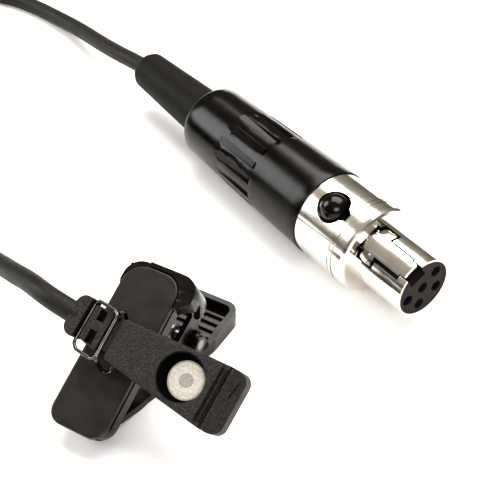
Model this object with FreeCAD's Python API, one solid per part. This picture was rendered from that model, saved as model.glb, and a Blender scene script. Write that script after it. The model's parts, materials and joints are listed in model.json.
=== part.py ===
import FreeCAD, Part
import math
import os
from FreeCAD import Placement, Rotation, Vector

# Lavalier microphone on a tie clip, with its cable and five-way miniature plug.
# Millimetres. +Z is up. The object lies on the plane z = 0, with its origin at the
# bottom centre of the box round the microphone and its clip.

os.makedirs("parts", exist_ok=True)

# ---------------------------------------------------------------- driving dimensions
GAP = 0.05                 # running clearance, all round
CABLE_D = 2.4
CABLE_R = CABLE_D / 2
CORD_INSET = 0.8           # how far each cord end sits inside its relief

# clip: the cover plate's frame is u across, v along towards the lever end, h out of it
CLIP_X = -5.31
PLATE_CENTRE = Vector(CLIP_X, -4.41, 7.8)
PLATE_TILT = 27.8          # degrees between the cover plate and the table
COVER_HALF_U = 3.45
COVER_HALF_V = 9.5
COVER_T = 0.7
SEAM = 0.08                # gap between cover plate and front jaw
SKIN = 0.72                # front jaw's top skin
JAW_TOP = -COVER_T - SEAM
JAW_BOTTOM = -2.2
JAW_HALF_U = 3.55
JAW_LOW_V = -9.0
LEVER_LEFT_U = 4.0
LEVER_RIGHT_U = 5.2
LEVER_V = 10.1
LIP_START_U = -1.2         # the lip round the cover's end starts here
COVER_GAP = 0.12           # between the cover's edge and that lip
LEVER_START_V = 6.3
WALL = 0.7

# hinge between the jaws
HINGE_Y = 4.1
HINGE_Z = 3.3
PIN_R = 0.6
SPRING_WIRE_R = 0.22
SPRING_PITCH = 0.5
EAR_IN = 3.4               # inner face of the front jaw's ears
EAR_OUT = 3.98
BACK_EAR_IN = 4.08
BACK_EAR_OUT = 4.72
BOSS_OUT = 5.0
BOSS_R = 1.35

# back jaw: a tray that lies on the table, narrowing to the gripping tip
TRAY_FLOOR = 0.8
TRAY_HALF = 5.15
TRAY_WIDE_Y = 6.7
TRAY_END_Y = 12.6
TRAY_RIM_Z = 2.2
TETHER_X = -4.33
TETHER_Y = 10.0
TETHER_R = 0.7

# swivel under the microphone, in the cover plate's frame
SWIVEL_U = 1.2
SHANK_R = 0.8
HUB_R = 2.0
HUB_LOW = 0.06
HUB_TOP = 0.72
WIRE_R = 0.2

# microphone: x along it from neck to nose, y across, z out of its top face
MIC_OFFSET = Vector(1.14, 0.22, 4.0)
MIC_SKEW = -5.6
MIC_PITCH = 3.1
MIC_ROLL = 8.9
MIC_T = 2.8
NECK_HALF = 2.33
NOSE_HALF = 3.39
GROOVE_X = 12.35
NOSE_X = 14.45
MIC_WALL = 0.6
MIC_ROOF = 1.12
EDGE_R = 0.4
BAND_X = 11.7              # shallow band across the top, up to the groove's far edge
BAND_DEPTH = 0.12
SCREEN_X = 8.9
SCREEN_R = 2.0
SCREEN_T = 0.24
SCREEN_DEPTH = 0.72
CAPSULE_R = 1.95
RECESS_R = 2.65
RECESS_SHIFT = -0.45
BOOT_X = -5.74
BOOT_EXIT_Y = 0.15
BOOT_EXIT_Z = -1.45

# plug: x along its axis with the mating face at 0, z towards the latch
PLUG_FACE = Vector(18.17, 22.3, 5.8)
PLUG_YAW = -23.6
PLUG_ROLL = 30.0
NOSE_R = 3.8
NOSE_BORE = 3.55
NOSE_L = 7.75
FLANGE_R = 5.7
FLANGE_BACK = -10.25
SHELL_R = 5.6
COLLAR_X = -16.56
SHELL_BACK = -26.5
SHELL_BORE = 4.5
SPIGOT_R = 5.0             # shell inside the sleeve
SLEEVE_FRONT_R = 5.75
SLEEVE_BACK_R = 5.0
SLEEVE_BACK = -41.9
RELIEF_R = 3.42
RELIEF_END_R = 2.75
PLUG_BACK = -58.5
LATCH_HINGE_X = -22.0
LATCH_HINGE_Z = 3.35
LATCH_IN_R = 3.2
LATCH_OUT_R = 3.6
BUTTON_X = -13.0
BUTTON_R = 1.85
BUTTON_DOME_Z = 4.95       # where the button's shaft turns into its dome
BUTTON_HOLE_R = 2.15
CONTACT_R = 0.66
CONTACT_FRONT_X = -2.0
CONTACT_PITCH_R = 2.35
CONTACT_ANGLES = (80.0, 143.0, -143.0, -80.0)
CHANNEL_Z = 1.95           # floor of the channel under the latch
TONGUE_Z = 1.8             # and under its tongue, which moves most
FLUTES = 16
FLUTE_W = 0.95
FLUTE_DEPTH = 0.5          # at the square front end
FLUTE_FRONT_X = -26.3
FLUTE_BACK_X = -34.5

# put-away coil, lying on its tie
COIL_CENTRE = Vector(-70.8, 19.0, 0)
COIL_MEAN_R = 13.8
COIL_SIDE = 4 * CABLE_D    # four turns across and four high
TIE_T = 0.4
TIE_ANGLE = 22.0

# route points of the two free leads, in the part's frame
MIC_LEAD = (
    (-9.12, -4.79, 10.83), (-12.7, -4.5, 11.15), (-15.1, -3.8, 10.9), (-18.1, -2.45, 9.9),
    (-22.0, -0.7, 8.0), (-26.1, 1.45, 5.8), (-30.0, 3.3, 3.8), (-33.8, 4.95, 2.1),
    (-38.1, 6.2, 1.2), (-43.5, 6.6, 1.2), (-49.5, 5.4, 1.2), (-55.5, 3.2, 1.3),
    (-62.5, 1.8, 1.5), (-70.8, 1.6, 1.6),
)
PLUG_LEAD = (
    (-34.71, 45.4, 5.8), (-38.3, 46.85, 5.45), (-42.5, 48.45, 4.75), (-48.76, 51.61, 3.4),
    (-55.3, 54.97, 2.2), (-61.4, 57.25, 1.4), (-66.7, 58.6, 1.2), (-72.4, 59.2, 1.2),
    (-78.5, 58.2, 1.2), (-83.8, 54.6, 1.2), (-87.2, 48.8, 1.5), (-88.6, 41.5, 3.0),
    (-88.4, 33.5, 5.6), (-88.2, 26.0, 8.0), (-88.2, 19.0, 8.8),
)

X_AXIS = Vector(1, 0, 0)
Y_AXIS = Vector(0, 1, 0)
Z_AXIS = Vector(0, 0, 1)

PLATE = Placement(PLATE_CENTRE, Rotation(X_AXIS, PLATE_TILT))
MIC = PLATE.multiply(Placement(MIC_OFFSET, Rotation(MIC_SKEW, MIC_PITCH, MIC_ROLL)))
TURN = Placement(Vector(0, 0, 0), Rotation(X_AXIS, PLUG_ROLL))
PLUG = Placement(PLUG_FACE, Rotation(Z_AXIS, PLUG_YAW)).multiply(TURN)
HINGE = Placement(Vector(CLIP_X, HINGE_Y, HINGE_Z), Rotation())
HOME = Placement()


# ---------------------------------------------------------------- helpers
def box(x0, x1, y0, y1, z0, z1):
    return Part.makeBox(x1 - x0, y1 - y0, z1 - z0, Vector(x0, y0, z0))


def rod(radius, start, end):
    """A cylinder between two points."""
    line = end - start
    return Part.makeCylinder(radius, line.Length, start, line)


def x_rod(radius, x0, x1, y=0.0, z=0.0):
    return rod(radius, Vector(x0, y, z), Vector(x1, y, z))


def z_rod(radius, z0, z1, x=0.0, y=0.0):
    return rod(radius, Vector(x, y, z0), Vector(x, y, z1))


def x_tube(outer, inner, x0, x1):
    return x_rod(outer, x0, x1).cut(x_rod(inner, x0 - 1, x1 + 1))


def prism(points, low, high, axis="z"):
    """A straight solid on a polygon, along z or, for (y, z) points, along x."""
    if axis == "z":
        corners = [Vector(a, b, low) for a, b in points]
        way = Vector(0, 0, high - low)
    else:
        corners = [Vector(low, a, b) for a, b in points]
        way = Vector(high - low, 0, 0)
    face = Part.Face(Part.makePolygon(corners + corners[:1]))
    return face.extrude(way)


def spun(points):
    """A solid of revolution about x from (x, r) points."""
    corners = [Vector(x, r, 0) for x, r in points]
    face = Part.Face(Part.makePolygon(corners + corners[:1]))
    return face.revolve(Vector(0, 0, 0), X_AXIS, 360)


def rounded(points, low, high, radii):
    """A straight solid along z on a polygon, with a radius at each corner."""
    edges = []
    count = len(points)
    ins = []
    outs = []
    for index, (corner, radius) in enumerate(zip(points, radii)):
        here = Vector(corner[0], corner[1], low)
        before = Vector(*points[index - 1], low)
        after = Vector(*points[(index + 1) % count], low)
        back = (before - here).normalize()
        on = (after - here).normalize()
        half = back.getAngle(on) / 2
        reach = radius / math.tan(half)
        start = here + back * reach
        end = here + on * reach
        ins.append(start)
        outs.append(end)
        if radius > 0:
            middle_way = (back + on).normalize()
            middle = here + middle_way * (radius / math.sin(half) - radius)
            edges.append((index, Part.Arc(start, middle, end).toShape()))
    wire_edges = []
    arcs = dict(edges)
    for index in range(count):
        if index in arcs:
            wire_edges.append(arcs[index])
        nxt = (index + 1) % count
        wire_edges.append(Part.LineSegment(outs[index], ins[nxt]).toShape())
    face = Part.Face(Part.Wire(wire_edges))
    return face.extrude(Vector(0, 0, high - low))


def bent_wire(points, radius, bend):
    """A round wire along a polyline whose corners are bent to an arc."""
    path = path_wire([Vector(*p) for p in points], lambda run, turn: min(bend, run))[0]
    start = path.Edges[0]
    way = start.tangentAt(start.FirstParameter)
    circle = Part.Wire(Part.makeCircle(radius, start.valueAt(start.FirstParameter), way))
    return path.makePipeShell([circle], True, False)


def path_wire(points, rule):
    """Straight runs joined by tangent arcs. rule gives each corner's radius."""
    edges = []
    radii = []
    at = points[0]
    for index in range(1, len(points) - 1):
        here = points[index]
        back = points[index - 1] - here
        on = points[index + 1] - here
        run = min(back.Length, on.Length)
        back.normalize()
        on.normalize()
        turn = math.pi - back.getAngle(on)
        radius = rule(0.45 * run / math.tan(turn / 2), turn)
        reach = radius * math.tan(turn / 2)
        start = here + back * reach
        end = here + on * reach
        inward = (back + on).normalize()
        middle = here + inward * (radius / math.cos(turn / 2) - radius)
        edges.append(Part.LineSegment(at, start).toShape())
        edges.append(Part.Arc(start, middle, end).toShape())
        radii.append(radius)
        at = end
    edges.append(Part.LineSegment(at, points[-1]).toShape())
    return Part.Wire(edges), radii


def lead_tube(points, name):
    """A cord's tube, with each arc as large as its two runs allow."""
    route = [Vector(*p) for p in points]
    path, radii = path_wire(route, lambda run, turn: run)
    way = (route[1] - route[0]).normalize()
    circle = Part.Wire(Part.makeCircle(CABLE_R, route[0], way))
    tube = path.makePipeShell([circle], True, False)
    expected = math.pi * CABLE_R ** 2 * path.Length
    print(name, "length", round(path.Length, 1), "volume ratio", round(tube.Volume / expected, 4))
    print(name, "radii", [round(r, 1) for r in radii])
    return tube, path.Length


def helix(radius, wire, pitch, height):
    """A closed-wound or open coil about z, standing on z = 0."""
    spine = Part.makeHelix(pitch, height, radius)
    circle = Part.Wire(Part.makeCircle(wire, Vector(radius, 0, 0), Y_AXIS))
    return Part.Wire(spine.Edges).makePipeShell([circle], True, True)


def save(name, shape, where=HOME):
    solid = shape.removeSplitter()
    solid.Placement = where.multiply(solid.Placement)
    if len(solid.Solids) == 1:
        solid = solid.Solids[0]
    solid.exportStep("parts/" + name + ".step")
    if not solid.isValid():
        print("NOT VALID", name)
    return solid


# ---------------------------------------------------------------- clip
def cover_plan(grow, low, high):
    half = COVER_HALF_U + grow
    end = COVER_HALF_V + grow
    corners = [(-half, -end), (half, -end), (half, end), (-half, end)]
    return rounded(corners, low, high, [1.7 + grow, 1.7 + grow, 2.4 + grow, 2.6 + grow])


def clip_cover():
    plate = cover_plan(0, -COVER_T, 0)
    top = [e for e in plate.Edges if abs(e.BoundBox.ZMin) < 1e-6]
    plate = plate.makeFillet(0.22, top)
    return plate.cut(z_rod(SHANK_R + 0.01, -COVER_T - 1, 1, SWIVEL_U))


def jaw_plan(inset, low, high):
    """The front jaw's skirted plate, narrow at the grip and wide at the lever."""
    half = JAW_HALF_U - inset
    left = LEVER_LEFT_U - inset
    right = LEVER_RIGHT_U - inset
    foot = JAW_LOW_V + inset
    head = LEVER_V - inset
    step = LEVER_START_V + inset / 2
    shoulder = step + 1.0
    corners = [(-half, foot), (half, foot), (half, step), (right, shoulder), (right, head),
               (-left, head), (-left, shoulder), (-half, step)]
    radii = [1.6 - inset, 1.6 - inset, 0.3, 0.3, 2.1 - inset, 2.1 - inset, 0.2, 0.2]
    return rounded(corners, low, high, radii)


def front_jaw():
    plate = jaw_plan(0, JAW_BOTTOM, JAW_TOP)
    hollow = jaw_plan(WALL, JAW_BOTTOM - 1, JAW_TOP - SKIN)
    plate = plate.cut(hollow)
    # raised lip round the cover's end, and the deep side cheeks that carry the ears
    lip = jaw_plan(0, JAW_TOP - 0.1, -0.06).cut(cover_plan(COVER_GAP, -2, 1))
    lip = lip.common(box(LIP_START_U, 7, LEVER_START_V - 0.5, 11, -2, 1))
    rim = jaw_plan(0, -4.4, JAW_TOP).cut(jaw_plan(WALL, -5, 1))
    slope = [(7.05, -4.3), (10.3, -4.3), (10.3, 0.1), (9.7, 0.1)]
    cheeks = rim.common(prism(slope, -6, 6, "x")).cut(box(-3.2, 4.4, 6, 12, -5, JAW_TOP - 0.1))
    ribs = box(-2.6, 2.6, JAW_LOW_V + 0.5, JAW_LOW_V + 0.8, JAW_BOTTOM, JAW_TOP - SKIN)
    for step in range(1, 4):
        foot = JAW_LOW_V + 0.5 + 0.7 * step
        ribs = ribs.fuse(box(-2.85, 2.85, foot, foot + 0.3, JAW_BOTTOM, JAW_TOP - SKIN))
    jaw = plate.fuse([lip, cheeks, ribs])
    jaw = jaw.cut(z_rod(SHANK_R + 0.01, -5, 1, SWIVEL_U))
    jaw.Placement = PLATE
    # ears, straight down to the hinge, in the hinge's own frame
    side = [(1.15, 5.9), (1.25, 0.0), (-1.25, 0.0), (-2.9, 1.7), (-3.6, 2.15), (-1.9, 2.8),
            (0.1, 3.75), (-0.4, 7.3), (0.6, 7.8)]
    for inner, outer in ((EAR_IN, EAR_OUT), (-EAR_OUT, -EAR_IN)):
        ear = prism(side, inner, outer, "x").fuse(x_rod(BOSS_R, inner, outer))
        ear = ear.cut(x_rod(PIN_R + 0.01, -9, 9))
        ear.Placement = HINGE
        jaw = jaw.fuse(ear)
    return jaw


def tray_plan(inset, low, high, front_y):
    """The back jaw's outline behind front_y."""
    slope = (TRAY_HALF - 2.95) / (TRAY_WIDE_Y + 3.55)
    front_half = TRAY_HALF - (TRAY_WIDE_Y - front_y) * slope - inset
    half = TRAY_HALF - inset
    corners = [(-front_half, front_y), (front_half, front_y), (half, TRAY_WIDE_Y),
               (half, TRAY_END_Y - inset), (-half, TRAY_END_Y - inset), (-half, TRAY_WIDE_Y)]
    radii = [0, 0, 1.5, 1.6 - inset, 1.6 - inset, 1.5]
    return rounded(corners, low, high, radii)


def back_jaw():
    floor = tray_plan(0, 0, TRAY_FLOOR, -3.55)
    wall = tray_plan(0, 0, TRAY_RIM_Z, 1.9).cut(tray_plan(WALL, -1, 9, 1.8))
    # the side walls rise from the hinge towards the far rim
    rise = [(1.0, 0.1), (13.5, 0.1), (13.5, 2.2), (8.0, 2.2), (5.6, 1.5), (1.9, 1.3)]
    wall = wall.common(prism(rise, -7, 7, "x"))
    # tongue that runs forward and up to the gripping tip
    side = [(-3.5, 0), (-4.7, 0), (-8.1, 0.75), (-11.0, 0.6), (-11.0, 1.1), (-10.5, 1.5),
            (-10.1, 1.3), (-9.7, 1.52), (-9.3, 1.34), (-8.1, 1.5), (-4.7, 0.92), (-3.5, 0.8)]
    plan = [(-2.3, -11.0), (2.3, -11.0), (2.45, -8.1), (2.95, -3.5), (-2.95, -3.5), (-2.45, -8.1)]
    tongue = prism(side, -4, 4, "x").common(rounded(plan, -1, 3, [1.2, 1.2, 0.5, 0, 0, 0.5]))
    jaw = floor.fuse([wall, tongue])
    for step in range(5):
        y = 7.2 + 1.15 * step
        jaw = jaw.fuse(box(-TRAY_HALF + 0.4, TRAY_HALF - 0.4, y, y + 0.35, 0.5, 1.15))
    jaw.Placement = Placement(Vector(CLIP_X, 0, 0), Rotation())
    side = [(-2.0, -2.7), (2.4, -2.7), (1.3, 0), (-1.3, 0)]
    for sign in (1, -1):
        inner = min(sign * BACK_EAR_IN, sign * BACK_EAR_OUT)
        outer = max(sign * BACK_EAR_IN, sign * BACK_EAR_OUT)
        ear = prism(side, inner, outer, "x").fuse(x_rod(1.3, inner, outer))
        ear = ear.fuse(x_rod(1.0, sign * BACK_EAR_OUT, sign * BOSS_OUT))
        ear.Placement = HINGE
        jaw = jaw.fuse(ear)
    pin_hole = x_rod(PIN_R + GAP, -9, 9)
    pin_hole.Placement = HINGE
    tether = z_rod(TETHER_R, -1, 3, TETHER_X, TETHER_Y)
    slit = box(TETHER_X - 0.12, TETHER_X + 0.12, TETHER_Y, TETHER_Y + 1.6, -1, 3)
    return jaw.cut([pin_hole, tether, slit])


def hinge_pin():
    return x_rod(PIN_R, -BOSS_OUT, BOSS_OUT)


def torsion_spring():
    """A coil on the hinge pin: one arm rises under the lever, the other lies in the tray."""
    mean = PIN_R + 0.12 + SPRING_WIRE_R
    turns = 5.25
    spine = Part.makeHelix(SPRING_PITCH, turns * SPRING_PITCH, mean).Edges
    start = spine[0].valueAt(spine[0].FirstParameter)
    start_way = spine[0].tangentAt(spine[0].FirstParameter)
    end = spine[-1].valueAt(spine[-1].LastParameter)
    end_way = spine[-1].tangentAt(spine[-1].LastParameter)
    lever_tip = start - start_way * 6.0
    tray_tip = end + end_way * 4.2
    before = Part.LineSegment(lever_tip, start).toShape()
    after = Part.LineSegment(end, tray_tip).toShape()
    path = Part.Wire([before] + spine + [after])
    circle = Part.Wire(Part.makeCircle(SPRING_WIRE_R, lever_tip, start_way))
    wire = path.makePipeShell([circle], True, True)
    # the coil's own z runs along the pin, and it is entered from above at the front
    wire.Placement = Placement(Vector(-1.0, 0, 0), Rotation(-Y_AXIS, -Z_AXIS, X_AXIS, "ZXY"))
    return wire


def swivel_rivet():
    shank = z_rod(SHANK_R, -1.9, HUB_TOP - 0.04, SWIVEL_U)
    head = z_rod(1.3, HUB_TOP - 0.32, HUB_TOP - 0.04, SWIVEL_U)
    tail = z_rod(1.3, -1.9, JAW_TOP - SKIN - 0.02, SWIVEL_U)
    return shank.fuse([head, tail])


def bail_hub():
    disc = z_rod(HUB_R, HUB_LOW, HUB_TOP, SWIVEL_U)
    disc = disc.cut(z_rod(SHANK_R + GAP, -1, 2, SWIVEL_U))
    return disc.cut(z_rod(1.3 + GAP, HUB_TOP - 0.36, 2, SWIVEL_U))


def wire_bail():
    """A wire ring round the boot, and two legs that run under the body to the hub."""
    top = -0.05
    ring = [(-0.62, -0.87, top), (-0.55, -2.75, top), (-1.3, -2.95, -0.4), (-3.3, -2.9, -0.7),
            (-3.92, -2.4, -0.78), (-3.92, 2.2, -0.78), (-3.6, 2.56, -0.6), (-1.3, 2.5, -0.3),
            (-0.68, 2.2, top), (-0.62, -0.83, top)]
    ring = bent_wire(ring, WIRE_R, 0.5)
    back = MIC.inverse().multiply(PLATE)
    legs = []
    for sign in (1, -1):
        inner = back.multVec(Vector(SWIVEL_U - 0.2, sign * (HUB_R - 0.3), 0.39))
        under = back.multVec(Vector(SWIVEL_U - 0.3, sign * (HUB_R + 0.75), 0.41))
        edge = back.multVec(Vector(0.1, sign * (HUB_R + 0.8), 0.45))
        top_end = Vector(-0.62, sign * 2.45, top)
        outer = Vector(-0.5, sign * 2.9, top - 0.5)
        legs.append(bent_wire([top_end, outer, edge, under, inner], WIRE_R, 0.45))
    return ring.fuse(legs)


# ---------------------------------------------------------------- microphone
def mic_plan(low, high):
    nose_half = NOSE_HALF - 0.05
    corners = [(0, -NECK_HALF), (GROOVE_X, -NOSE_HALF), (NOSE_X, -nose_half),
               (NOSE_X, nose_half), (GROOVE_X, NOSE_HALF), (0, NECK_HALF)]
    return rounded(corners, low, high, [0.6, 2.0, 1.1, 1.1, 2.0, 0.6])


def inner_plan(inset, low, high):
    """The space inside the housing's walls."""
    half = NECK_HALF - inset
    wide = NOSE_HALF - inset
    end = GROOVE_X - 0.3
    corners = [(inset, -half), (end, -wide), (end, wide), (inset, half)]
    return rounded(corners, low, high, [0.3, 0.6, 0.6, 0.3])


def recess():
    """The shallow dish round the screen: its rim is set towards the neck."""
    rim = Part.Wire(Part.makeCircle(RECESS_R, Vector(SCREEN_X + RECESS_SHIFT, 0, 0)))
    base = Part.Wire(Part.makeCircle(SCREEN_R + 0.04, Vector(SCREEN_X, 0, -SCREEN_DEPTH)))
    return Part.makeLoft([base, rim], True, True)


def mic_housing():
    body = mic_plan(-MIC_T, 0)
    top = [e for e in body.Edges if e.BoundBox.ZMin > -0.1]
    body = body.makeFillet(EDGE_R, top)
    # sloping nose facet
    nose_cut = [(GROOVE_X + 0.5, 0), (NOSE_X + 1, 0), (NOSE_X + 1, -2.2), (NOSE_X - 0.05, -1.1)]
    corners = [Vector(x, -6, z) for x, z in nose_cut]
    face = Part.Face(Part.makePolygon(corners + corners[:1]))
    body = body.cut(face.extrude(Vector(0, 12, 0)))
    body = body.cut(inner_plan(MIC_WALL, -MIC_T - 1, -MIC_ROOF))
    body = body.cut(box(BAND_X, GROOVE_X + 0.35, -5, 5, -BAND_DEPTH, 1))
    body = body.cut(box(GROOVE_X + 0.15, GROOVE_X + 0.4, -5, 5, -0.4, 1))
    body = body.cut(recess())
    return body.cut(z_rod(SCREEN_R + 0.04, -2, -SCREEN_DEPTH, SCREEN_X))


def mic_base():
    return inner_plan(MIC_WALL + 0.03, -MIC_T, -2.25)


def capsule_screen():
    return z_rod(SCREEN_R, -SCREEN_DEPTH - SCREEN_T, -SCREEN_DEPTH, SCREEN_X)


def capsule():
    top = -SCREEN_DEPTH - SCREEN_T - 0.04
    body = z_rod(CAPSULE_R, -1.9, top, SCREEN_X)
    return body.cut(z_rod(0.4, top - 0.2, 0, SCREEN_X))


def capsule_gasket():
    ring = z_rod(2.5, -1.5, -MIC_ROOF - 0.02, SCREEN_X)
    return ring.cut(z_rod(CAPSULE_R + 0.02, -3, 0, SCREEN_X))


def circuit_board():
    board = box(1.2, 11.4, -1.5, 1.5, -2.22, -1.94)
    chip = box(2.4, 4.2, -0.8, 0.8, -1.94, -1.4)
    parts = [box(x, x + 0.8, y, y + 0.45, -1.94, -1.6) for x in (4.9, 6.0) for y in (-1.0, 0.5)]
    return board.fuse(chip).fuse(parts)


def cable_boot():
    """The moulded boot behind the neck: end block, waist, slotted web, second waist."""
    block = rounded([(BOOT_X, -2.05), (-4.25, -2.05), (-4.25, 2.5), (BOOT_X, 2.5)],
                    -2.75, -0.3, [1.1, 0.3, 0.3, 1.1])
    waist = box(-4.4, -3.5, -1.2, 1.35, -2.6, -1.0)
    web = rounded([(-3.6, -1.75), (-1.3, -2.15), (-1.3, 2.24), (-3.6, 2.1)],
                  -2.6, -0.5, [0.3, 0.3, 0.3, 0.3])
    for low, high in ((-1.75, -0.3), (0.75, 1.95)):
        web = web.cut(box(-2.85, -2.0, low, high, -1.6, 0))
    neck = box(-1.5, 0, -1.6, 1.6, -2.5, -0.85)
    return block.fuse([waist, web, neck])


# ---------------------------------------------------------------- plug
def plug_shell():
    groove = FLANGE_BACK - 0.3
    root = FLANGE_R - 0.5
    waist = FLANGE_R - 0.35
    body = spun([(0, NOSE_BORE), (0, NOSE_R), (-NOSE_L, NOSE_R), (-NOSE_L, root),
                 (-NOSE_L - 0.15, FLANGE_R - 0.2), (-NOSE_L - 0.5, FLANGE_R),
                 (-9.6, FLANGE_R), (-9.6, waist), (-9.8, waist),
                 (-9.8, FLANGE_R), (FLANGE_BACK, FLANGE_R), (FLANGE_BACK, root),
                 (groove, root), (groove, SHELL_R),
                 (COLLAR_X, SHELL_R), (COLLAR_X, SPIGOT_R), (SHELL_BACK, SPIGOT_R),
                 (SHELL_BACK, SHELL_BORE), (-9.0, SHELL_BORE), (-9.0, NOSE_BORE)])
    # the seam of the turned faces is kept clear of the latch's slot
    body.rotate(Vector(0, 0, 0), X_AXIS, 22.5)
    for side in (1.9, -3.6):
        lug = box(LATCH_HINGE_X - 0.8, LATCH_HINGE_X + 0.8, side, side + 1.7, 2.55, 4.4)
        body = body.fuse(lug.common(x_rod(SHELL_BORE + 0.2, -30, 0)))
    body = body.cut(rod(0.41, Vector(LATCH_HINGE_X, -5, LATCH_HINGE_Z),
                        Vector(LATCH_HINGE_X, 5, LATCH_HINGE_Z)))
    window = box(-7.7, -5.0, -2.55, 2.55, 1.5, 5.0)
    slot = box(-5.1, -1.2, -1.75, 1.4, 1.5, 5.0)
    mouth = box(-1.3, 1, -1.15, 1.15, 1.5, 5.0)
    strap_way = box(-9.1, -7.6, -1.85, 1.85, 1.5, 3.95)
    button_hole = z_rod(BUTTON_HOLE_R, 3, 7, BUTTON_X)
    relief_hole = z_rod(0.9, 3, 7, BUTTON_X + 1.75)
    return body.cut([window, slot, mouth, strap_way, button_hole, relief_hole])


def plug_insulator():
    body = x_rod(NOSE_BORE - 0.03, -14.8, -0.1)
    body = body.cut(box(-15, -7.0, -1.9, 1.9, CHANNEL_Z, 5))
    body = body.cut(box(-7.9, -4.8, -2.6, 2.6, 1.4, 5))
    body = body.cut(box(-5, -1.0, -1.6, 1.6, TONGUE_Z, 5))
    body = body.cut(box(-1.2, 1, -1.1, 1.1, TONGUE_Z, 5))
    holes = [x_rod(CONTACT_R + 0.02, -16, 1, y, z) for y, z in contact_places()]
    return body.cut(holes)


def contact_places():
    """(y, z) of the five contacts: one in the middle and four round the latch's axis."""
    places = [(0.0, 0.0)]
    for angle in CONTACT_ANGLES:
        turn = math.radians(angle)
        places.append((-CONTACT_PITCH_R * math.sin(turn), CONTACT_PITCH_R * math.cos(turn)))
    return places


def socket_contacts():
    contacts = []
    for y, z in contact_places():
        tube = x_rod(CONTACT_R, -16.5, CONTACT_FRONT_X, y, z)
        contacts.append(tube.cut(x_rod(0.46, -8, 1, y, z)))
    return Part.makeCompound(contacts)


def sector(half_angle_deg, x0, x1, inner, outer):
    """Part of a tube about x, centred on +z."""
    turn = math.radians(half_angle_deg)
    ring = x_tube(outer, inner, x0, x1)
    reach = 9.0
    corners = [(0, 0), (-reach * math.tan(turn), reach), (reach * math.tan(turn), reach)]
    return ring.common(prism(corners, x0, x1, "x"))


def latch_plate():
    tongue = sector(21.0, -8.0, -1.5, LATCH_IN_R, LATCH_OUT_R)
    cross = sector(42.0, -7.3, -5.5, LATCH_IN_R, LATCH_OUT_R)
    strap = sector(24.0, LATCH_HINGE_X + 0.4, -7.5, LATCH_IN_R, LATCH_OUT_R)
    axis = Vector(LATCH_HINGE_X, -1.5, LATCH_HINGE_Z)
    curl = rod(0.85, axis, axis + Vector(0, 3.0, 0))
    nib = sector(16.0, -1.6, -0.7, LATCH_IN_R, LATCH_OUT_R)
    plate = tongue.fuse([nib, cross, strap, curl])
    return plate.cut(rod(0.4 + GAP, axis - Y_AXIS, axis + Vector(0, 5, 0)))


def latch_button():
    body = z_rod(BUTTON_R, LATCH_IN_R, BUTTON_DOME_Z, BUTTON_X)
    dome = Part.makeSphere(BUTTON_R, Vector(BUTTON_X, 0, BUTTON_DOME_Z))
    body = body.fuse(dome.common(box(-20, -5, -5, 5, BUTTON_DOME_Z - 0.1, 8)))
    # its foot sits on the curved strap
    return body.cut(x_rod(LATCH_OUT_R, -20, -5))


def latch_pin():
    return rod(0.4, Vector(LATCH_HINGE_X, -3.2, LATCH_HINGE_Z),
               Vector(LATCH_HINGE_X, 3.2, LATCH_HINGE_Z))


def latch_spring():
    coil = helix(0.85, 0.13, 0.42, 0.9)
    coil.Placement = Placement(Vector(BUTTON_X, 0, CHANNEL_Z + 0.16), Rotation())
    return coil


def plug_sleeve():
    back = SLEEVE_BACK
    body = spun([(COLLAR_X, SPIGOT_R + GAP), (COLLAR_X, SLEEVE_FRONT_R - 0.1),
                 (COLLAR_X - 0.1, SLEEVE_FRONT_R), (-31.75, 5.35), (back + 0.7, SLEEVE_BACK_R),
                 (back + 0.2, SLEEVE_BACK_R - 0.2), (back, SLEEVE_BACK_R - 0.7),
                 (back, RELIEF_R + GAP), (back + 1.6, RELIEF_R + GAP), (back + 1.6, 4.2),
                 (SHELL_BACK - 0.5, 4.2), (SHELL_BACK - 0.5, SPIGOT_R + GAP)])
    # tapering flutes with a square front end
    flutes = []
    side = [(FLUTE_BACK_X, 6.5), (FLUTE_FRONT_X, 6.5), (FLUTE_FRONT_X, 5.5 - FLUTE_DEPTH),
            (FLUTE_BACK_X, 5.27)]
    corners = [Vector(x, -FLUTE_W / 2, z) for x, z in side]
    wedge = Part.Face(Part.makePolygon(corners + corners[:1])).extrude(Vector(0, FLUTE_W, 0))
    for index in range(FLUTES):
        flute = wedge.copy()
        flute.rotate(Vector(0, 0, 0), X_AXIS, index * 360 / FLUTES)
        flutes.append(flute)
    return body.cut(flutes)


def plug_relief():
    back = PLUG_BACK
    return spun([(back, CABLE_R + 0.6), (back + 0.25, RELIEF_END_R - 0.35),
                 (back + 0.9, RELIEF_END_R), (SLEEVE_BACK - 0.5, RELIEF_R - 0.02),
                 (SLEEVE_BACK + 1.65, RELIEF_R - 0.02), (SLEEVE_BACK + 1.65, 4.1),
                 (SLEEVE_BACK + 4.0, 4.1), (SLEEVE_BACK + 4.0, CABLE_R + GAP),
                 (back + 1.2, CABLE_R + GAP), (back + 1.2, 0), (back, 0)])


def cable_clamp():
    ring = x_tube(1.9, CABLE_R + 0.02, -34.0, -30.0)
    wings = box(-33.4, -30.6, -3.6, 3.6, -0.35, 0.35).cut(x_rod(1.5, -36, -28))
    return ring.fuse(wings)


def cable_end():
    return x_rod(CABLE_R, PLUG_BACK + 1.25, -29.0)


def plug_wiring():
    """One conductor from the cable's end to each contact's solder cup."""
    wires = []
    for y, z in contact_places():
        start = Vector(-28.98, y * 0.3, z * 0.3)
        end = Vector(-16.52, y, z)
        wires.append(rod(0.27, start, end))
    return Part.makeCompound(wires)


# ---------------------------------------------------------------- cord
def ring_sector(inner, outer, low, high, half_angle):
    ring = z_rod(outer, low, high).cut(z_rod(inner, low - 1, high + 1))
    if half_angle is None:
        return ring
    reach = 3 * outer * math.tan(math.radians(half_angle))
    corners = [(0, 0), (3 * outer, -reach), (3 * outer, reach)]
    return ring.common(prism(corners, low, high))


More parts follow.
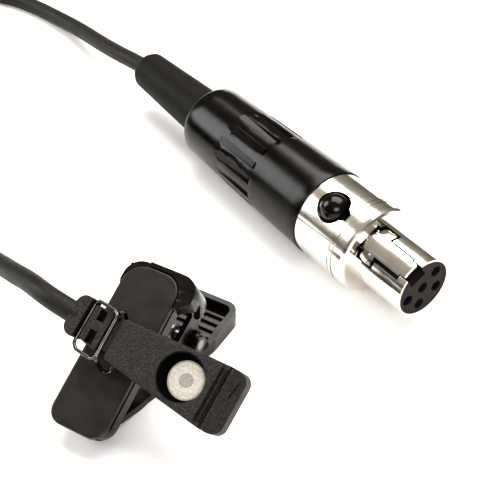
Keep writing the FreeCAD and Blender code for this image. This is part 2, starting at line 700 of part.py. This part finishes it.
def cord_coil():
    half = COIL_SIDE / 2
    return ring_sector(COIL_MEAN_R - half, COIL_MEAN_R + half, TIE_T, TIE_T + COIL_SIDE, None)


def coil_tie():
    half = COIL_SIDE / 2
    top = TIE_T + COIL_SIDE
    outside = ring_sector(COIL_MEAN_R - half - TIE_T, COIL_MEAN_R + half + TIE_T,
                          0, top + TIE_T, TIE_ANGLE / 2)
    return outside.cut(ring_sector(COIL_MEAN_R - half, COIL_MEAN_R + half, TIE_T, top, None))


def build():
    own = {}
    own["clip_cover"] = save("clip_cover", clip_cover(), PLATE)
    own["front_jaw"] = save("front_jaw", front_jaw())
    own["back_jaw"] = save("back_jaw", back_jaw())
    own["hinge_pin"] = save("hinge_pin", hinge_pin(), HINGE)
    own["torsion_spring"] = save("torsion_spring", torsion_spring(), HINGE)
    own["swivel_rivet"] = save("swivel_rivet", swivel_rivet(), PLATE)
    own["bail_hub"] = save("bail_hub", bail_hub(), PLATE)
    own["wire_bail"] = save("wire_bail", wire_bail(), MIC)
    own["mic_housing"] = save("mic_housing", mic_housing(), MIC)
    own["mic_base"] = save("mic_base", mic_base(), MIC)
    own["capsule_screen"] = save("capsule_screen", capsule_screen(), MIC)
    own["capsule"] = save("capsule", capsule(), MIC)
    own["capsule_gasket"] = save("capsule_gasket", capsule_gasket(), MIC)
    own["circuit_board"] = save("circuit_board", circuit_board(), MIC)
    own["cable_boot"] = save("cable_boot", cable_boot(), MIC)
    save("plug_shell", plug_shell(), PLUG)
    save("plug_insulator", plug_insulator(), PLUG)
    save("socket_contacts", socket_contacts(), PLUG)
    save("latch_plate", latch_plate(), PLUG)
    save("latch_button", latch_button(), PLUG)
    save("latch_pin", latch_pin(), PLUG)
    save("latch_spring", latch_spring(), PLUG)
    save("plug_sleeve", plug_sleeve(), PLUG)
    save("plug_relief", plug_relief(), PLUG)
    save("cable_clamp", cable_clamp(), PLUG)
    save("cable_end", cable_end(), PLUG)
    save("plug_wiring", plug_wiring(), PLUG)
    mic_lead, mic_length = lead_tube(MIC_LEAD, "mic_cord")
    plug_lead, plug_length = lead_tube(PLUG_LEAD, "plug_cord")
    save("mic_cord", mic_lead)
    save("plug_cord", plug_lead)
    coil_place = Placement(COIL_CENTRE, Rotation())
    save("cord_coil", cord_coil(), coil_place)
    save("coil_tie", coil_tie(), coil_place)
    whole = Part.makeCompound(list(own.values())).BoundBox
    print("own box", [round(v, 3) for v in (whole.XMin, whole.XMax, whole.YMin, whole.YMax)])
    print("own height", round(whole.ZMin, 3), round(whole.ZMax, 3))
    exit_point = MIC.multVec(Vector(BOOT_X, BOOT_EXIT_Y, BOOT_EXIT_Z))
    print("boot exit", exit_point, "relief end", PLUG.multVec(Vector(PLUG_BACK, 0, 0)))


build()
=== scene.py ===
import bmesh
import bpy
import json
import math
from mathutils import Matrix, Vector


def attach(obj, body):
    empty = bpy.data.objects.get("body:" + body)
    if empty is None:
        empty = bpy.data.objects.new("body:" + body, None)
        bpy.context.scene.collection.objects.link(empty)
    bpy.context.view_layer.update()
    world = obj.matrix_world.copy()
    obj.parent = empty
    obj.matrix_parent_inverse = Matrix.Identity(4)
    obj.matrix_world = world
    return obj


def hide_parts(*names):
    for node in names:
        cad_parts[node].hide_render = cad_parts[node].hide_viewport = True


# Looks for the lavalier microphone: tie clip, wedge microphone, cable and miniature plug.
# Lengths are metres in the CAD part's frame unless a name ends in _MM.

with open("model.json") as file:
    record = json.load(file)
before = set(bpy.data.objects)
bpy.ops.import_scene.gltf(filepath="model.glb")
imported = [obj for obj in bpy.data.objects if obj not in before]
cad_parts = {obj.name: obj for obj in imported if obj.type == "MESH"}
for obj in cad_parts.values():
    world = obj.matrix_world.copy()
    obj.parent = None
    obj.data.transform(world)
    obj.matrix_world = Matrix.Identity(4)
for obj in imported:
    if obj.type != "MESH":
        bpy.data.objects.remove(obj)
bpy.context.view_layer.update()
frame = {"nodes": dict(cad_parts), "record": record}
NODES = frame["nodes"]
MM = 0.001


# ---------------------------------------------------------------- frames of the sub-assemblies
def placed(offset_mm, yaw=0.0, pitch=0.0, roll=0.0):
    """A frame at a point in millimetres, turned by roll, then pitch, then yaw, in degrees."""
    turn = Matrix.Rotation(math.radians(yaw), 4, "Z")
    turn = turn @ Matrix.Rotation(math.radians(pitch), 4, "Y")
    turn = turn @ Matrix.Rotation(math.radians(roll), 4, "X")
    return Matrix.Translation(Vector(offset_mm) * MM) @ turn


PLATE = placed((-5.31, -4.41, 7.8), roll=27.8)
MIC = PLATE @ placed((1.14, 0.22, 4.0), -5.6, 3.1, 8.9)


# ---------------------------------------------------------------- camera
CAMERA_MM = (46.06, -65.23, 89.45)
LOOK_AT_MM = (-5.51, 23.92, 0.0)
LENS_MM = 77.75


def make_camera():
    data = bpy.data.cameras.new("camera")
    data.sensor_width = 36.0
    data.lens = LENS_MM
    data.clip_start = 0.005
    data.clip_end = 20.0
    camera = bpy.data.objects.new("camera", data)
    bpy.context.scene.collection.objects.link(camera)
    camera.location = Vector(CAMERA_MM) * MM
    look = Vector(LOOK_AT_MM) * MM - camera.location
    camera.rotation_mode = "QUATERNION"
    camera.rotation_quaternion = look.to_track_quat("-Z", "Y")
    bpy.context.scene.camera = camera


make_camera()

# ---------------------------------------------------------------- cord
CABLE_R_MM = 1.2
MIC_LEAD_MM = (
    (-9.12, -4.79, 10.83), (-12.7, -4.5, 11.15), (-15.1, -3.8, 10.9), (-18.1, -2.45, 9.9),
    (-22.0, -0.7, 8.0), (-26.1, 1.45, 5.8), (-30.0, 3.3, 3.8), (-33.8, 4.95, 2.1),
    (-38.1, 6.2, 1.2), (-43.5, 6.6, 1.2), (-49.5, 5.4, 1.2), (-55.5, 3.2, 1.3),
    (-62.5, 1.8, 1.5),
)
PLUG_LEAD_MM = (
    (-34.71, 45.4, 5.8), (-38.3, 46.85, 5.45), (-42.5, 48.45, 4.75), (-48.76, 51.61, 3.4),
    (-55.3, 54.97, 2.2), (-61.4, 57.25, 1.4), (-66.7, 58.6, 1.2), (-72.4, 59.2, 1.2),
    (-78.5, 58.2, 1.2), (-83.8, 54.6, 1.2), (-87.2, 48.8, 1.5), (-88.6, 41.5, 3.0),
    (-88.4, 33.5, 5.6), (-88.2, 26.0, 8.0),
)
COIL_CENTRE_MM = (-70.8, 19.0)
COIL_MEAN_R_MM = 13.8
COIL_FLOOR_MM = 0.4
COIL_ACROSS = 4
COIL_LAYERS = 4
COIL_TURNS = 15.25
POINTS_PER_TURN = 20
SHIFT_START_DEG = 280.0     # each turn moves to its next place after this much of it
SHIFT_SPAN_DEG = 45.0
LIFT_BULGE_MM = 0.9


def coil_place(index):
    """(radius, height) in millimetres of one of the coil's sixteen stacked turns."""
    layer, along = divmod(index, COIL_ACROSS)
    if layer % 2:
        along = COIL_ACROSS - 1 - along
    pitch = 2 * CABLE_R_MM
    radius = COIL_MEAN_R_MM + pitch * ((COIL_ACROSS - 1) / 2 - along)
    return radius, COIL_FLOOR_MM + CABLE_R_MM + pitch * layer


def coil_points():
    """Control points of the wound turns, clockwise from the side nearest the microphone."""
    step = 2 * math.pi / POINTS_PER_TURN
    grow = 1 / math.cos(step / 2)
    points = []
    for index in range(round(COIL_TURNS * POINTS_PER_TURN) + 1):
        turn, rest = divmod(index, POINTS_PER_TURN)
        share = (rest * 360 / POINTS_PER_TURN - SHIFT_START_DEG) / SHIFT_SPAN_DEG
        share = min(max(share, 0.0), 1.0)
        share = share * share * (3 - 2 * share)
        radius, height = coil_place(turn)
        last = COIL_ACROSS * COIL_LAYERS - 1
        next_radius, next_height = coil_place(min(turn + 1, last))
        if next_height > height:
            side = 1 if radius > COIL_MEAN_R_MM else -1
            radius += side * LIFT_BULGE_MM * math.sin(math.pi * share)
        else:
            radius += (next_radius - radius) * share
        height += (next_height - height) * share
        angle = -math.pi / 2 - index * step
        x = COIL_CENTRE_MM[0] + radius * grow * math.cos(angle)
        y = COIL_CENTRE_MM[1] + radius * grow * math.sin(angle)
        points.append((x, y, height))
    return points


def make_cord():
    curve = bpy.data.curves.new("cable", "CURVE")
    curve.dimensions = "3D"
    spline = curve.splines.new("NURBS")
    points = list(MIC_LEAD_MM) + coil_points() + list(reversed(PLUG_LEAD_MM))
    spline.points.add(len(points) - 1)
    for point, place in zip(spline.points, points):
        point.co = (*(Vector(place) * MM), 1.0)
        point.radius = CABLE_R_MM * MM
    spline.order_u = 3
    spline.use_endpoint_u = True
    spline.resolution_u = 6
    curve.bevel_depth = 1.0     # times each point's radius
    curve.bevel_resolution = 7
    curve.use_fill_caps = True
    cord = bpy.data.objects.new("cable", curve)
    bpy.context.scene.collection.objects.link(cord)
    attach(cord, "microphone")
    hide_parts("mic_cord", "plug_cord", "cord_coil")
    return cord


cable = make_cord()


# ---------------------------------------------------------------- materials
def new_material(name, colour, metallic=0.0, roughness=0.5):
    material = bpy.data.materials.new(name)
    material.use_nodes = True
    shader = material.node_tree.nodes["Principled BSDF"]
    shader.inputs["Base Color"].default_value = (*colour, 1)
    shader.inputs["Metallic"].default_value = metallic
    shader.inputs["Roughness"].default_value = roughness
    return material


def noise(material, per_mm, detail):
    """A noise node in the piece's own coordinates, with so many features to the millimetre."""
    nodes = material.node_tree.nodes
    links = material.node_tree.links
    place = nodes.new("ShaderNodeTexCoord")
    mapping = nodes.new("ShaderNodeMapping")
    mapping.inputs["Scale"].default_value = [1000 * per_mm] * 3
    node = nodes.new("ShaderNodeTexNoise")
    node.inputs["Scale"].default_value = 1.0
    node.inputs["Detail"].default_value = detail
    links.new(place.outputs["Object"], mapping.inputs["Vector"])
    links.new(mapping.outputs["Vector"], node.inputs["Vector"])
    return node


def vary(material, source, socket, low, high):
    """Drives a number of the shader between two values."""
    links = material.node_tree.links
    node = material.node_tree.nodes.new("ShaderNodeMapRange")
    node.inputs["From Min"].default_value = 0.3
    node.inputs["From Max"].default_value = 0.7
    node.inputs["To Min"].default_value = low
    node.inputs["To Max"].default_value = high
    links.new(source.outputs["Fac"], node.inputs["Value"])
    shader = material.node_tree.nodes["Principled BSDF"]
    links.new(node.outputs["Result"], shader.inputs[socket])


def tint(material, source, low, high):
    """Drives the colour between two tones."""
    links = material.node_tree.links
    node = material.node_tree.nodes.new("ShaderNodeValToRGB")
    node.color_ramp.elements[0].position = 0.3
    node.color_ramp.elements[0].color = (*low, 1)
    node.color_ramp.elements[1].position = 0.7
    node.color_ramp.elements[1].color = (*high, 1)
    links.new(source.outputs["Fac"], node.inputs["Fac"])
    shader = material.node_tree.nodes["Principled BSDF"]
    links.new(node.outputs["Color"], shader.inputs["Base Color"])


def bump(material, source, height_mm):
    """Raises the surface by a noise, up to a height in millimetres."""
    links = material.node_tree.links
    node = material.node_tree.nodes.new("ShaderNodeBump")
    node.inputs["Distance"].default_value = height_mm * MM
    links.new(source.outputs["Fac"], node.inputs["Height"])
    shader = material.node_tree.nodes["Principled BSDF"]
    links.new(node.outputs["Normal"], shader.inputs["Normal"])


def plastic(name, dark, light, rough, grain_mm=0.12, depth_mm=0.01, gloss=0.4):
    """Moulded plastic or rubber: cloudy tone, uneven gloss and a fine grain."""
    material = new_material(name, dark)
    clouds = noise(material, 0.5, 4.0)
    tint(material, clouds, dark, light)
    vary(material, clouds, "Roughness", rough[0], rough[1])
    bump(material, noise(material, 1 / grain_mm, 2.0), depth_mm)
    shader = material.node_tree.nodes["Principled BSDF"]
    shader.inputs["Specular IOR Level"].default_value = gloss
    return material


def metal(name, dark, light, rough, grain_mm=0.4, depth_mm=0.002):
    """Plated or drawn metal: faint stains and fine polishing marks."""
    material = new_material(name, dark, metallic=1.0)
    clouds = noise(material, 0.4, 5.0)
    tint(material, clouds, dark, light)
    vary(material, clouds, "Roughness", rough[0], rough[1])
    bump(material, noise(material, 1 / grain_mm, 2.0), depth_mm)
    return material


def grained(name, dark, light, rough, grain_mm, depth_mm):
    """Leather-like moulded grain: small raised cells with paler tops."""
    material = new_material(name, dark)
    links = material.node_tree.links
    nodes = material.node_tree.nodes
    cells = noise(material, 1 / grain_mm, 3.0)
    tint(material, cells, dark, light)
    vary(material, noise(material, 0.6, 3.0), "Roughness", rough[0], rough[1])
    fine = noise(material, 2.2 / grain_mm, 2.0)
    both = nodes.new("ShaderNodeMath")
    both.operation = "MULTIPLY_ADD"
    both.inputs[1].default_value = 0.35
    links.new(fine.outputs["Fac"], both.inputs[0])
    links.new(cells.outputs["Fac"], both.inputs[2])
    relief = nodes.new("ShaderNodeBump")
    relief.inputs["Distance"].default_value = depth_mm * MM
    links.new(both.outputs["Value"], relief.inputs["Height"])
    shader = nodes["Principled BSDF"]
    links.new(relief.outputs["Normal"], shader.inputs["Normal"])
    # painted shade in the recess round the screen
    paint_recess_shade(material)
    return material


def axis_distance(material, centre):
    """A node giving the distance from an axis square to the microphone's top, in metres."""
    nodes = material.node_tree.nodes
    links = material.node_tree.links
    place = nodes.new("ShaderNodeTexCoord")
    offset = nodes.new("ShaderNodeVectorMath")
    offset.operation = "SUBTRACT"
    offset.inputs[1].default_value = centre
    links.new(place.outputs["Object"], offset.inputs[0])
    across = nodes.new("ShaderNodeVectorMath")
    across.operation = "CROSS_PRODUCT"
    across.inputs[1].default_value = SCREEN_AXIS
    links.new(offset.outputs["Vector"], across.inputs[0])
    radius = nodes.new("ShaderNodeVectorMath")
    radius.operation = "LENGTH"
    links.new(across.outputs["Vector"], radius.inputs[0])
    return radius


def paint_recess_shade(material):
    """Paints shade into the cone round the screen: a darker colour and weaker gloss there."""
    nodes = material.node_tree.nodes
    links = material.node_tree.links
    shader = nodes["Principled BSDF"]
    radius = axis_distance(material, RECESS_SHADE_CENTRE)
    # painted shade: colour and gloss fall off inside the recess
    shade_level = nodes.new("ShaderNodeMapRange")
    shade_level.inputs["From Min"].default_value = RECESS_SHADE_R_MM * MM
    shade_level.inputs["From Max"].default_value = RECESS_SHADE_EDGE_R_MM * MM
    shade_level.inputs["To Min"].default_value = 0.02
    shade_level.inputs["To Max"].default_value = GRAIN_GLOSS
    links.new(radius.outputs["Value"], shade_level.inputs["Value"])
    links.new(shade_level.outputs["Result"], shader.inputs["Specular IOR Level"])
    share = nodes.new("ShaderNodeMath")
    share.operation = "MULTIPLY"
    share.inputs[1].default_value = 1 / GRAIN_GLOSS
    links.new(shade_level.outputs["Result"], share.inputs[0])
    grain = shader.inputs["Base Color"].links[0].from_socket
    mix = nodes.new("ShaderNodeVectorMath")
    mix.operation = "SCALE"
    links.new(grain, mix.inputs[0])
    links.new(share.outputs["Value"], mix.inputs["Scale"])
    links.new(mix.outputs["Vector"], shader.inputs["Base Color"])


SCREEN_X_MM = 8.9
SCREEN_R_MM = 2.0
# painted shade in the recess round the screen: its axis point, the radius of full shade and the
# edge where it fades out
RECESS_SHADE_X_MM = 8.4
RECESS_SHADE_R_MM = 2.42     # fully dark inside this, and the plain grain outside the next
RECESS_SHADE_EDGE_R_MM = 2.62
GRAIN_GLOSS = 0.26
SCREEN_CENTRE = MIC @ (Vector((SCREEN_X_MM, 0.0, 0.0)) * MM)
RECESS_SHADE_CENTRE = MIC @ (Vector((RECESS_SHADE_X_MM, 0.0, 0.0)) * MM)
SCREEN_AXIS = (MIC.to_3x3() @ Vector((0, 0, 1))).normalized()


def mesh_disc(name):
    """A pale sintered disc, darker in a small disc in the middle and towards its rim."""
    dark = (0.33, 0.30, 0.26)
    light = (0.50, 0.475, 0.425)
    material = new_material(name, light)
    nodes = material.node_tree.nodes
    links = material.node_tree.links
    speckle = noise(material, 4.5, 2.0)
    radius = axis_distance(material, SCREEN_CENTRE)
    zones = nodes.new("ShaderNodeValToRGB")
    scaled = nodes.new("ShaderNodeMath")
    scaled.operation = "MULTIPLY"
    scaled.inputs[1].default_value = 1 / (SCREEN_R_MM * MM)
    links.new(radius.outputs["Value"], scaled.inputs[0])
    links.new(scaled.outputs["Value"], zones.inputs["Fac"])
    ramp = zones.color_ramp
    ramp.elements[0].position = 0.0
    ramp.elements[0].color = (0.62, 0.61, 0.58, 1)
    ramp.elements[1].position = 0.96
    ramp.elements[1].color = (0.6, 0.58, 0.54, 1)
    for position, tone in ((0.29, 0.62), (0.33, 0.5), (0.4, 1.0), (0.86, 1.0)):
        stop = ramp.elements.new(position)
        stop.color = (tone, tone, tone, 1)
    tint(material, speckle, dark, light)
    shader = nodes["Principled BSDF"]
    grain = shader.inputs["Base Color"].links[0].from_socket
    mix = nodes.new("ShaderNodeVectorMath")
    mix.operation = "MULTIPLY"
    links.new(grain, mix.inputs[0])
    links.new(zones.outputs["Color"], mix.inputs[1])
    links.new(mix.outputs["Vector"], shader.inputs["Base Color"])
    bump(material, speckle, 0.05)
    shader.inputs["Roughness"].default_value = 0.85
    return material


MATERIALS = {
    "cover_satin": plastic("cover_satin", (0.0055, 0.0055, 0.005), (0.0095, 0.009, 0.0078),
                           (0.36, 0.44), gloss=0.34),
    "jaw_gloss": plastic("jaw_gloss", (0.0015, 0.0015, 0.0015), (0.003, 0.0025, 0.002),
                         (0.22, 0.3), gloss=0.28),
    "spring_steel": metal("spring_steel", (0.16, 0.155, 0.15), (0.30, 0.29, 0.28), (0.3, 0.45)),
    "bright_steel": metal("bright_steel", (0.035, 0.034, 0.032), (0.12, 0.117, 0.11),
                          (0.16, 0.24)),
    "mic_grey": grained("mic_grey", (0.0015, 0.0015, 0.0015), (0.024, 0.0235, 0.022),
                        (0.42, 0.58), grain_mm=0.21, depth_mm=0.16),
    "screen_mesh": mesh_disc("screen_mesh"),
    "capsule_can": metal("capsule_can", (0.60, 0.60, 0.61), (0.75, 0.75, 0.76), (0.25, 0.4)),
    "gasket_rubber": plastic("gasket_rubber", (0.002, 0.002, 0.002), (0.004, 0.004, 0.004),
                             (0.6, 0.8), gloss=0.1),
    "board_green": plastic("board_green", (0.02, 0.12, 0.05), (0.03, 0.18, 0.08), (0.3, 0.4)),
    "cable_jacket": plastic("cable_jacket", (0.007, 0.007, 0.007), (0.011, 0.011, 0.011),
                            (0.45, 0.6), grain_mm=0.2, gloss=0.2),
    "tie_strap": plastic("tie_strap", (0.006, 0.006, 0.007), (0.012, 0.012, 0.013),
                         (0.8, 0.95), grain_mm=0.15, depth_mm=0.06, gloss=0.25),
    "plug_nickel": metal("plug_nickel", (0.78, 0.75, 0.69), (0.88, 0.85, 0.79), (0.12, 0.17),
                         depth_mm=0.0004),
    "insulator_grey": plastic("insulator_grey", (0.010, 0.008, 0.0085), (0.018, 0.015, 0.016),
                              (0.5, 0.65), gloss=0.14),
    "contact_gold": metal("contact_gold", (0.04, 0.03, 0.015), (0.09, 0.06, 0.03), (0.4, 0.5)),
    "button_black": plastic("button_black", (0.001, 0.001, 0.001), (0.002, 0.002, 0.0025),
                            (0.12, 0.18), gloss=0.3),
    "sleeve_black": plastic("sleeve_black", (0.0008, 0.0008, 0.0008), (0.0015, 0.0015, 0.0015),
                            (0.16, 0.24), gloss=0.2),
    "relief_rubber": plastic("relief_rubber", (0.0025, 0.0025, 0.0025), (0.0045, 0.0045, 0.0045),
                             (0.5, 0.65), grain_mm=0.2, depth_mm=0.02, gloss=0.14),
    "wire_core": metal("wire_core", (0.55, 0.28, 0.14), (0.72, 0.42, 0.24), (0.3, 0.4)),
}


def paint_nodes():
    """Gives each CAD node its finish."""
    for row in frame["record"]["subparts"]:
        node = NODES[row["node"]]
        node.data.materials.clear()
        node.data.materials.append(MATERIALS[row["material_slot"]])


paint_nodes()
cable.data.materials.append(MATERIALS["cable_jacket"])


# ---------------------------------------------------------------- moulded detail
WELD_GAP = 0.000001
SHARP_ANGLE = 40


def soften(name, width_mm):
    """Rounds the sharp edges of a moulded or pressed node."""
    weld = NODES[name].modifiers.new("join", "WELD")
    weld.merge_threshold = WELD_GAP
    bevel = NODES[name].modifiers.new("soft_edges", "BEVEL")
    bevel.width = width_mm * MM
    bevel.segments = 2
    bevel.limit_method = "ANGLE"
    bevel.angle_limit = math.radians(SHARP_ANGLE)
    bevel.harden_normals = False


def add_piece(name, mesh_maker, slot, rides):
    """A modelled piece made by a function that fills a bmesh."""
    mesh = bpy.data.meshes.new(name)
    made = bmesh.new()
    mesh_maker(made)
    bmesh.ops.recalc_face_normals(made, faces=made.faces)
    for face in made.faces:
        face.smooth = True
    made.to_mesh(mesh)
    made.free()
    piece = bpy.data.objects.new(name, mesh)
    bpy.context.scene.collection.objects.link(piece)
    mesh.materials.append(MATERIALS[slot])
    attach(piece, rides)
    return piece


BAND_FLOOR_MM = -0.12       # under the housing's top
RIB_SINK_MM = 0.03
RIB_ROWS = 25
RIB_PITCH_MM = 0.235
RIB_R_MM = 0.13
RIB_SHAPE = (1.3, 0.75, 0.9, 1)
RIB_COLUMNS_MM = (11.9, 12.32)


def nose_ribs(made):
    """Two columns of small moulded beads across the microphone's nose, made near-black as
    painted shade.
    """
    start = -RIB_PITCH_MM * (RIB_ROWS - 1) / 2
    for column in RIB_COLUMNS_MM:
        for row in range(RIB_ROWS):
            spot = Vector((column, start + row * RIB_PITCH_MM, BAND_FLOOR_MM - RIB_SINK_MM)) * MM
            ball = Matrix.Translation(spot) @ Matrix.Diagonal(RIB_SHAPE)
            bmesh.ops.create_icosphere(made, subdivisions=2, radius=RIB_R_MM * MM,
                                       matrix=MIC @ ball)


CREASE_START_MM = (13.89, 2.5, -0.74)
CREASE_END_MM = (13.64, 0.38, -0.56)
CREASE_STEPS = 14
CREASE_SIDES = 8
CREASE_END_R_MM = 0.02
CREASE_SWELL_MM = 0.06


def nose_crease(made):
    """A thin near-black line along the crease on the nose's slope, tapering out at both ends:
    painted shade of the crease.
    """
    start = Vector(CREASE_START_MM)
    run = Vector(CREASE_END_MM) - start
    rings = []
    for step in range(CREASE_STEPS + 1):
        share = step / CREASE_STEPS
        radius = CREASE_END_R_MM + CREASE_SWELL_MM * math.sin(math.pi * share)
        ring = []
        for side in range(CREASE_SIDES):
            turn = 2 * math.pi * side / CREASE_SIDES
            spot = start + run * share + Vector((math.cos(turn), 0, math.sin(turn))) * radius
            ring.append(made.verts.new(MIC @ (spot * MM)))
        rings.append(ring)
    for one, two in zip(rings, rings[1:]):
        for side in range(CREASE_SIDES):
            after = (side + 1) % CREASE_SIDES
            made.faces.new((one[side], one[after], two[after], two[side]))
    made.faces.new(rings[0])
    made.faces.new(rings[-1])


COIL_CENTRE = Vector((COIL_CENTRE_MM[0], COIL_CENTRE_MM[1], 0.0)) * MM
STRAP_SEGMENTS = 48
STRAP_HALF_ANGLE = 11.0
STRAP_ROWS = 16
STRAP_T_MM = 0.38
STRAP_GAP_MM = 0.02
STRAP_EDGE_SHARE = 0.55     # of the strap's thickness, along its edges
STRAP_SQUARENESS = 8        # a round loop at 2, and squarer above
LAP_COLUMNS = 13
LAP_ROWS = 10
LAP_HALF_ANGLE = 0.94 * STRAP_HALF_ANGLE
LAP_START_MM = -3.0
LAP_LENGTH_MM = 6.2
LAP_CORNER_MM = 0.5
BUNDLE_HALF_MM = COIL_ACROSS * CABLE_R_MM


def strap_ring(share, grow_mm):
    """One closed loop of the strap round the bundle, at a share of its width."""
    angle = math.radians(STRAP_HALF_ANGLE * (2 * share - 1))
    radial = Vector((math.cos(angle), math.sin(angle), 0))
    loop = []
    for step in range(STRAP_SEGMENTS):
        turn = 2 * math.pi * step / STRAP_SEGMENTS
        across = math.cos(turn)
        up = math.sin(turn)
        power_sum = abs(across) ** STRAP_SQUARENESS + abs(up) ** STRAP_SQUARENESS
        reach = power_sum ** (-1 / STRAP_SQUARENESS)
        half = BUNDLE_HALF_MM + STRAP_GAP_MM + grow_mm
        x = across * reach * half
        z = up * reach * half
        loop.append(COIL_CENTRE + radial * ((COIL_MEAN_R_MM + x) * MM)
                    + Vector((0, 0, (COIL_FLOOR_MM + BUNDLE_HALF_MM + z) * MM)))
    return loop


def coil_strap(made):
    """A fabric strap wrapped once round the bundle, thinner along its two edges."""
    rings = []
    for row in range(STRAP_ROWS + 1):
        share = row / STRAP_ROWS
        edge = min(share, 1 - share) * STRAP_ROWS
        grow = STRAP_T_MM * (STRAP_EDGE_SHARE if edge < 1 else 1.0)
        rings.append([made.verts.new(p) for p in strap_ring(share, grow)])
    inner = [[made.verts.new(p) for p in strap_ring(share, 0.0)] for share in (1.0, 0.0)]
    rings += inner
    for one, two in zip(rings, rings[1:] + rings[:1]):
        for step in range(STRAP_SEGMENTS):
            after = (step + 1) % STRAP_SEGMENTS
            made.faces.new((one[step], one[after], two[after], two[step]))


def strap_lap(made):
    """The strap's free end, lying on the outside of its first turn."""
    width = LAP_COLUMNS
    length = LAP_ROWS
    grid = {}
    for side in (0, 1):
        for i in range(width + 1):
            for j in range(length + 1):
                angle = math.radians(LAP_HALF_ANGLE * (2 * i / width - 1))
                radial = Vector((math.cos(angle), math.sin(angle), 0))
                out = BUNDLE_HALF_MM + STRAP_T_MM + STRAP_GAP_MM + STRAP_T_MM * side
                round_end = LAP_CORNER_MM * (abs(2 * i / width - 1) ** 3)
                z = LAP_START_MM + (LAP_LENGTH_MM - round_end) * j / length
                grid[side, i, j] = made.verts.new(
                    COIL_CENTRE + radial * ((COIL_MEAN_R_MM + out) * MM)
                    + Vector((0, 0, (COIL_FLOOR_MM + BUNDLE_HALF_MM + z) * MM)))
    for i in range(width):
        for j in range(length):
            for side in (0, 1):
                made.faces.new([grid[side, i, j], grid[side, i + 1, j],
                                grid[side, i + 1, j + 1], grid[side, i, j + 1]])
    for i in range(width):
        for j in (0, length):
            made.faces.new([grid[0, i, j], grid[0, i + 1, j], grid[1, i + 1, j], grid[1, i, j]])
    for j in range(length):
        for i in (0, width):
            made.faces.new([grid[0, i, j], grid[0, i, j + 1], grid[1, i, j + 1], grid[1, i, j]])


# the beads get the near-black finish as painted shade, so the beaded band reads dark
add_piece("nose_ribs", nose_ribs, "gasket_rubber", "microphone")
# painted shade: a near-black line along the nose's crease
add_piece("nose_crease", nose_crease, "gasket_rubber", "microphone")
strap = add_piece("coil_strap", coil_strap, "tie_strap", "microphone")
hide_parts("coil_tie")
lap = add_piece("coil_strap_lap", strap_lap, "tie_strap", "microphone")
for name, width in (("clip_cover", 0.12), ("front_jaw", 0.15), ("back_jaw", 0.15),
                    ("cable_boot", 0.1), ("latch_plate", 0.08), ("plug_sleeve", 0.12)):
    soften(name, width)


# ---------------------------------------------------------------- studio
FLOOR_HALF = 2
LOOK = (0, 0.02, 0)         # where the lights are aimed


def make_floor():
    mesh = bpy.data.meshes.new("floor")
    corners = [(-FLOOR_HALF, -FLOOR_HALF, 0), (FLOOR_HALF, -FLOOR_HALF, 0),
               (FLOOR_HALF, FLOOR_HALF, 0), (-FLOOR_HALF, FLOOR_HALF, 0)]
    mesh.from_pydata(corners, [], [(0, 1, 2, 3)])
    floor = bpy.data.objects.new("floor", mesh)
    bpy.context.scene.collection.objects.link(floor)
    material = new_material("floor_white", (0.9, 0.9, 0.9), roughness=0.9)
    mesh.materials.append(material)


def area_light(name, place, target, size, power, colour=(1, 1, 1)):
    data = bpy.data.lights.new(name, "AREA")
    data.shape = "RECTANGLE"
    data.size = size[0]
    data.size_y = size[1]
    data.energy = power
    data.color = colour
    light = bpy.data.objects.new(name, data)
    bpy.context.scene.collection.objects.link(light)
    light.location = place
    light.rotation_mode = "QUATERNION"
    light.rotation_quaternion = (Vector(target) - Vector(place)).to_track_quat("-Z", "Y")


def make_world():
    """A dim warm room, a little lighter overhead."""
    world = bpy.data.worlds.new("studio")
    bpy.context.scene.world = world
    world.use_nodes = True
    nodes = world.node_tree.nodes
    links = world.node_tree.links
    place = nodes.new("ShaderNodeTexCoord")
    split = nodes.new("ShaderNodeSeparateXYZ")
    ramp = nodes.new("ShaderNodeValToRGB")
    ramp.color_ramp.elements[0].position = 0.0
    ramp.color_ramp.elements[0].color = (0.10, 0.095, 0.09, 1)
    ramp.color_ramp.elements[1].position = 1.0
    ramp.color_ramp.elements[1].color = (0.42, 0.39, 0.34, 1)
    links.new(place.outputs["Generated"], split.inputs["Vector"])
    links.new(split.outputs["Z"], ramp.inputs["Fac"])
    background = nodes["Background"]
    background.inputs["Strength"].default_value = 1.0
    links.new(ramp.outputs["Color"], background.inputs["Color"])


make_floor()
make_world()
area_light("overhead", (-0.05, 0.35, 0.75), LOOK, (0.9, 0.7), 13.0, (1.0, 0.99, 0.97))
area_light("side", (-0.75, -0.15, 0.35), LOOK, (0.4, 0.5), 4.5)
area_light("front", (0.45, -0.55, 0.5), LOOK, (0.5, 0.3), 4.0)
bpy.context.scene.view_settings.view_transform = "Standard"
bpy.context.scene.view_settings.look = "Medium High Contrast"
